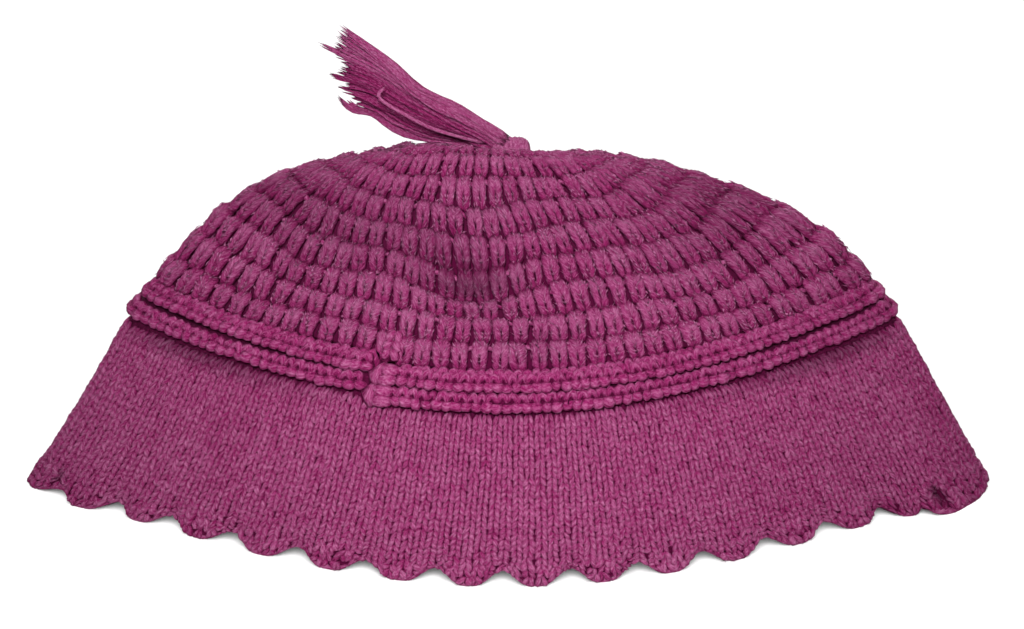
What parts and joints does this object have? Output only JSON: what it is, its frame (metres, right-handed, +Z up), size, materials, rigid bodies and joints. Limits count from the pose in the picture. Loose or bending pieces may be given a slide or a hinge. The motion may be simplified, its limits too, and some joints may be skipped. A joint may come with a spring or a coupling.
{
  "type": "knitted kippah",
  "caption": "Soft knitted cap with a puffy ribbed crown, rolled welts round the head, a flared brim with a scalloped edge and a yarn tassel at the gathered top.",
  "frame": {"origin": "on the floor under the middle of the hat, at the bottom centre of its bounding box", "axes": "+X towards the right side fold, -Y towards the front, +Z up from the rim to the tassel"},
  "size_m": [0.2694, 0.143, 0.13],
  "materials": {
    "brim_knit": "matte plum wool-like yarn in plain stitch",
    "welt_knit": "matte plum wool-like yarn in purl stitch",
    "crown_knit": "matte plum wool-like yarn in puffy stitch",
    "tassel_yarn": "matte plum yarn strands"
  },
  "bodies": {
    "root": {"brim": "brim_knit", "lower_welt": "welt_knit", "upper_welt": "welt_knit", "crown": "crown_knit", "tassel": "tassel_yarn"}
  },
  "joints": []
}
